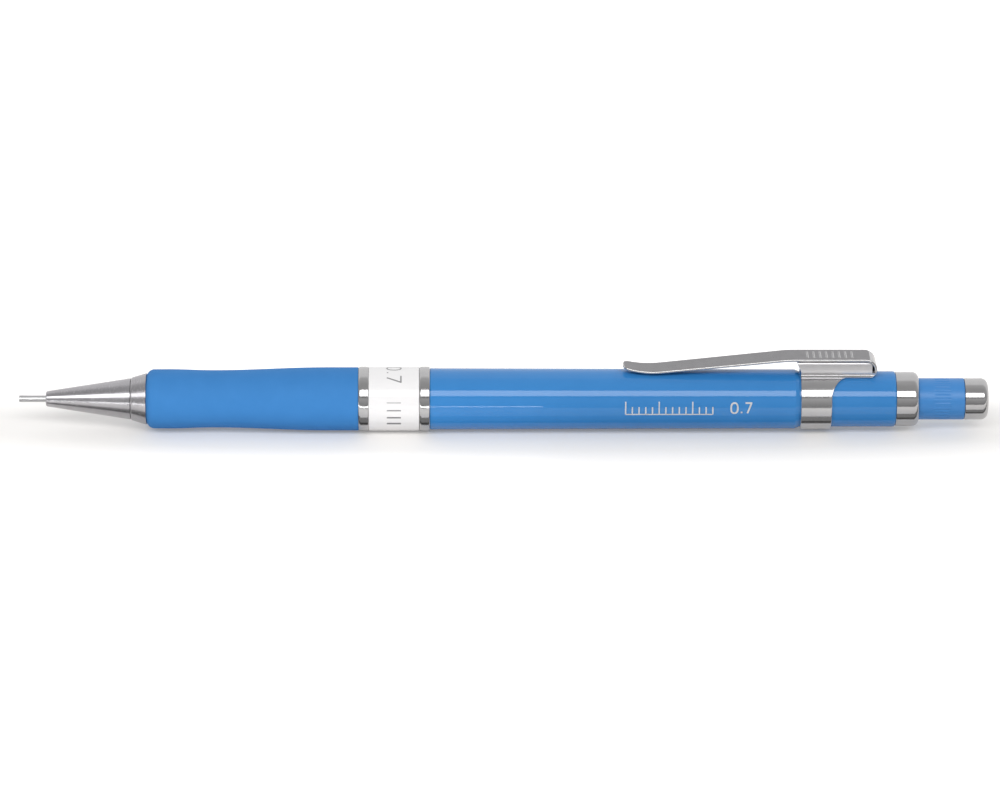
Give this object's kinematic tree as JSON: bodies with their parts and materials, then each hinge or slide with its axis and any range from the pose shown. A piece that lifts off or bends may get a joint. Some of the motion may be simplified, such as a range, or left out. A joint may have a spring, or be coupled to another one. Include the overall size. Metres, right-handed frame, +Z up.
{
  "type": "mechanical pencil",
  "caption": "Push-button mechanical pencil with a tapered metal tip, rubber grip, round barrel, swivelling pocket clip and capped eraser.",
  "frame": {"origin": "centre of the resting footprint, at the height of the surface that the pencil lies on", "axes": "+X along the pencil's axis towards the eraser cap, so the tip points to -X; +Z up, the way the clip points; +Y across"},
  "size_m": [0.145, 0.0096, 0.012],
  "materials": {
    "sleeve_steel": "drawn stainless tube, polished",
    "nickel": "turned and satin nickel plated",
    "seal_rubber": "soft black rubber",
    "grip_rubber": "matt blue moulded rubber",
    "trim_chrome": "bright chrome plate",
    "band_white": "white gloss plastic with fine grey printing",
    "barrel_blue": "blue gloss plastic with pale hot-foil marks",
    "knob_blue": "blue semi-gloss plastic",
    "clip_steel": "stamped sheet steel, brushed on top, bright at the sides",
    "eraser_white": "white vinyl eraser",
    "tank_plastic": "natural milky plastic tube",
    "spring_steel": "hard-drawn spring wire",
    "brass": "turned brass",
    "graphite": "graphite lead, slight sheen"
  },
  "bodies": {
    "body": {"barrel": "barrel_blue", "rubber_grip": "grip_rubber", "front_ferrule": "nickel", "front_trim_ring": "trim_chrome", "size_band": "band_white", "rear_trim_ring": "trim_chrome", "end_ferrule": "trim_chrome", "ring_seat": "brass"},
    "tip": {"tip_cone": "nickel", "lead_sleeve": "sleeve_steel", "lead_retainer": "seal_rubber"},
    "plunger": {"push_knob": "knob_blue", "lead_tank": "tank_plastic", "chuck_collar": "brass", "spare_leads": "graphite", "return_spring": "spring_steel"},
    "chuck_ring": {"chuck_ring": "brass"},
    "jaw_1": {"chuck_jaw_1": "brass"},
    "jaw_2": {"chuck_jaw_2": "brass"},
    "jaw_3": {"chuck_jaw_3": "brass"},
    "lead": {"lead": "graphite"},
    "eraser": {"eraser": "eraser_white"},
    "cap": {"eraser_cap": "trim_chrome"},
    "clip": {"clip_bracket": "clip_steel"},
    "clip_arm": {"clip_arm": "clip_steel"}
  },
  "joints": [
    {"name": "knob_press", "type": "slide", "parent": "body", "child": "plunger", "axis": [-1, 0, 0], "range_m": [0, 0.0032], "stiffness_N_per_m": 600, "springref_m": -0.004, "deforming": ["return_spring"]},
    {"name": "chuck_ring_slide", "type": "slide", "parent": "body", "child": "chuck_ring", "axis": [-1, 0, 0], "range_m": [0, 0.0012]},
    {"name": "jaw_1_spread", "type": "hinge", "parent": "plunger", "child": "jaw_1", "pos_m": [-0.0455, 0, 0.00562], "axis": [0, 1, 0], "range_deg": [0, 1.6]},
    {"name": "jaw_2_spread", "type": "hinge", "parent": "plunger", "child": "jaw_2", "pos_m": [-0.0455, -0.00067, 0.00446], "axis": [0, -0.5, 0.866], "range_deg": [0, 1.6]},
    {"name": "jaw_3_spread", "type": "hinge", "parent": "plunger", "child": "jaw_3", "pos_m": [-0.0455, 0.00067, 0.00446], "axis": [0, -0.5, -0.866], "range_deg": [0, 1.6]},
    {"name": "lead_feed", "type": "slide", "parent": "body", "child": "lead", "axis": [-1, 0, 0], "range_m": [0, 0.006]},
    {"name": "tip_unscrew", "type": "slide", "parent": "body", "child": "tip", "axis": [-1, 0, 0], "range_m": [0, 0.026]},
    {"name": "eraser_pull", "type": "slide", "parent": "plunger", "child": "eraser", "axis": [1, 0, 0], "range_m": [0, 0.01]},
    {"name": "cap_pull", "type": "slide", "parent": "eraser", "child": "cap", "axis": [1, 0, 0], "range_m": [0, 0.008]},
    {"name": "clip_swivel", "type": "hinge", "parent": "body", "child": "clip", "pos_m": [0, 0, 0.00485], "axis": [1, 0, 0], "continuous": true},
    {"name": "clip_flex", "type": "hinge", "parent": "clip", "child": "clip_arm", "pos_m": [0.0548, 0, 0.00975], "axis": [0, 1, 0], "range_deg": [0, 5], "stiffness_Nm_per_rad": 2, "springref_deg": -1.15}
  ],
  "couplings": [
    {"joint": "chuck_ring_slide", "follows": "knob_press", "ratio": 0.35},
    {"joint": "jaw_1_spread", "follows": "knob_press", "rad_per_m": 8.1812},
    {"joint": "jaw_2_spread", "follows": "knob_press", "rad_per_m": 8.1812},
    {"joint": "jaw_3_spread", "follows": "knob_press", "rad_per_m": 8.1812}
  ]
}
